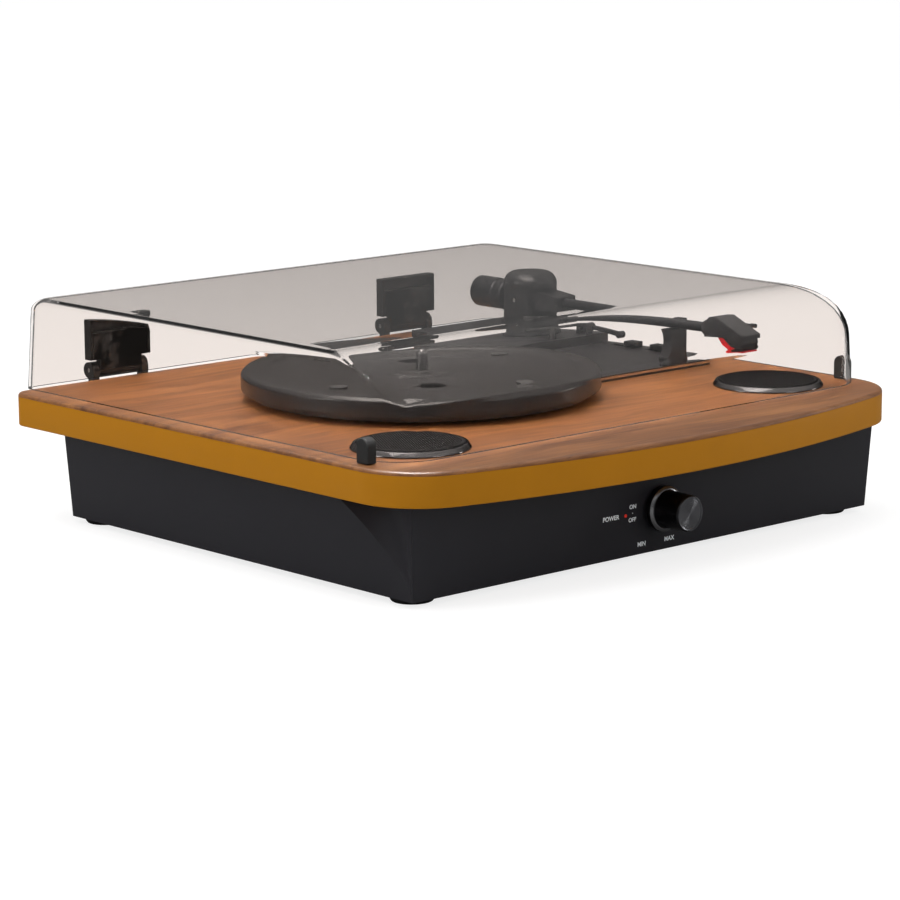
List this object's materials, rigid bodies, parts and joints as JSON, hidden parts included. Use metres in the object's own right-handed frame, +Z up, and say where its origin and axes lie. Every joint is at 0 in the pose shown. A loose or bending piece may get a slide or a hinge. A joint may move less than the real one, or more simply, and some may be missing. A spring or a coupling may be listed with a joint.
{
  "type": "turntable record player",
  "caption": "Belt-drive record player with a bow-fronted wooden board on a black case, built-in speakers, tonearm, volume knob and hinged clear lid.",
  "frame": {"origin": "on the surface it stands on, under the middle of its box", "axes": "+X to the right along the front, +Y to the back, +Z up"},
  "size_m": [0.42, 0.4137, 0.1395],
  "materials": {
    "case_plastic": "satin moulded black, fine grain",
    "cover_plastic": "matte moulded black",
    "rubber": "matte black rubber",
    "steel": "bright zinc plated",
    "motor_steel": "zinc plated",
    "yellow_paint": "satin mustard-yellow paint on fibreboard",
    "walnut": "satin walnut sheet, straight grain along X",
    "brass": "turned brass",
    "platter_black": "satin black",
    "speaker_trim": "semi-gloss black",
    "speaker_grille": "perforated sheet, matte charcoal",
    "speaker_metal": "black basket, paper cone",
    "deck_plastic": "satin moulded black",
    "arm_plastic": "semi-gloss moulded black",
    "arm_metal": "black anodised tube",
    "counterweight_metal": "black, turned, with a plastic-filled bore",
    "stylus_red": "red moulded stylus holder",
    "clear_lid": "smoky clear moulded acrylic",
    "hinge_plastic": "satin black",
    "knob_finish": "black turned aluminium, bright chamfer, spun face",
    "led_red": "red light",
    "circuit_green": "green circuit board",
    "electronic_parts": "mixed electronic parts",
    "socket_metal": "gold-coloured shells",
    "inlet_plastic": "black moulded inlet"
  },
  "bodies": {
    "base": {"case_shell": "case_plastic", "bottom_cover": "cover_plastic", "cover_screws": "steel", "foot_front_left": "rubber", "foot_front_right": "rubber", "foot_rear_left": "rubber", "foot_rear_right": "rubber", "board_core": "yellow_paint", "walnut_top": "walnut", "board_screws": "steel", "drive_plate": "steel", "drive_plate_screws": "steel", "spindle_bearing": "brass", "drive_motor": "motor_steel", "drive_belt": "rubber", "speaker_ring_left": "speaker_trim", "speaker_ring_right": "speaker_trim", "speaker_grille_left": "speaker_grille", "speaker_grille_right": "speaker_grille", "speaker_driver_left": "speaker_metal", "speaker_driver_right": "speaker_metal", "arm_deck": "deck_plastic", "arm_pivot_base": "arm_plastic", "arm_rest": "arm_plastic", "hinge_base_left": "hinge_plastic", "hinge_base_right": "hinge_plastic", "hinge_pins": "steel", "hinge_screws": "steel", "volume_control": "steel", "volume_nut": "steel", "power_led": "led_red", "amplifier_board": "circuit_green", "amplifier_parts": "electronic_parts", "rear_panel": "cover_plastic", "line_sockets": "socket_metal", "power_inlet": "inlet_plastic"},
    "platter_body": {"platter": "platter_black", "record_spindle": "steel", "platter_pads": "rubber"},
    "pulley_body": {"motor_shaft": "steel", "motor_pulley": "brass"},
    "arm_turn_body": {"arm_yoke": "arm_plastic", "arm_tilt_pin": "steel"},
    "arm_body": {"arm_block": "arm_plastic", "arm_tube": "arm_metal", "counterweight": "counterweight_metal", "headshell": "arm_plastic", "cartridge": "arm_plastic", "stylus": "stylus_red"},
    "cue_bar_body": {"cue_bar": "arm_plastic"},
    "cue_lever_body": {"cue_lever": "arm_plastic"},
    "speed_slider_body": {"speed_slider": "arm_plastic"},
    "autostop_slider_body": {"autostop_slider": "arm_plastic"},
    "lid_body": {"lid": "clear_lid", "lid_pockets": "hinge_plastic", "lid_bumpers": "rubber", "hinge_tongue_left": "hinge_plastic", "hinge_tongue_right": "hinge_plastic"},
    "knob_body": {"volume_shaft": "steel", "volume_knob": "knob_finish"}
  },
  "joints": [
    {"name": "lid_hinge", "type": "hinge", "parent": "base", "child": "lid_body", "pos_m": [0, 0.2015, 0.0865], "axis": [-1, 0, 0], "range_deg": [0, 65]},
    {"name": "platter_spin", "type": "hinge", "parent": "base", "child": "platter_body", "pos_m": [-0.034, 0.005, 0], "axis": [0, 0, -1], "continuous": true},
    {"name": "pulley_spin", "type": "hinge", "parent": "base", "child": "pulley_body", "pos_m": [0.026, 0.065, 0], "axis": [0, 0, -1], "continuous": true},
    {"name": "arm_swing", "type": "hinge", "parent": "base", "child": "arm_turn_body", "pos_m": [0.15, 0.1, 0.1], "axis": [0, 0, -1], "range_deg": [0, 47]},
    {"name": "arm_lift", "type": "hinge", "parent": "arm_turn_body", "child": "arm_body", "pos_m": [0.15, 0.1, 0.112], "axis": [-1, 0, 0], "range_deg": [0, 4]},
    {"name": "cue_lever_turn", "type": "hinge", "parent": "base", "child": "cue_lever_body", "pos_m": [0.168, 0.066, 0.099], "axis": [-1, 0, 0], "range_deg": [0, 45]},
    {"name": "cue_bar_rise", "type": "slide", "parent": "base", "child": "cue_bar_body", "axis": [0, 0, 1], "range_m": [0, 0.003]},
    {"name": "speed_select", "type": "slide", "parent": "base", "child": "speed_slider_body", "axis": [0, 1, 0], "range_m": [0, 0.016]},
    {"name": "autostop_switch", "type": "slide", "parent": "base", "child": "autostop_slider_body", "axis": [0, 1, 0], "range_m": [0, 0.008]},
    {"name": "volume_turn", "type": "hinge", "parent": "base", "child": "knob_body", "pos_m": [0.004, -0.17, 0.0305], "axis": [0, 1, 0], "range_deg": [0, 300]}
  ],
  "couplings": [
    {"joint": "pulley_spin", "follows": "platter_spin", "ratio": 14},
    {"joint": "cue_bar_rise", "follows": "cue_lever_turn", "m_per_rad": 0.0038197}
  ]
}
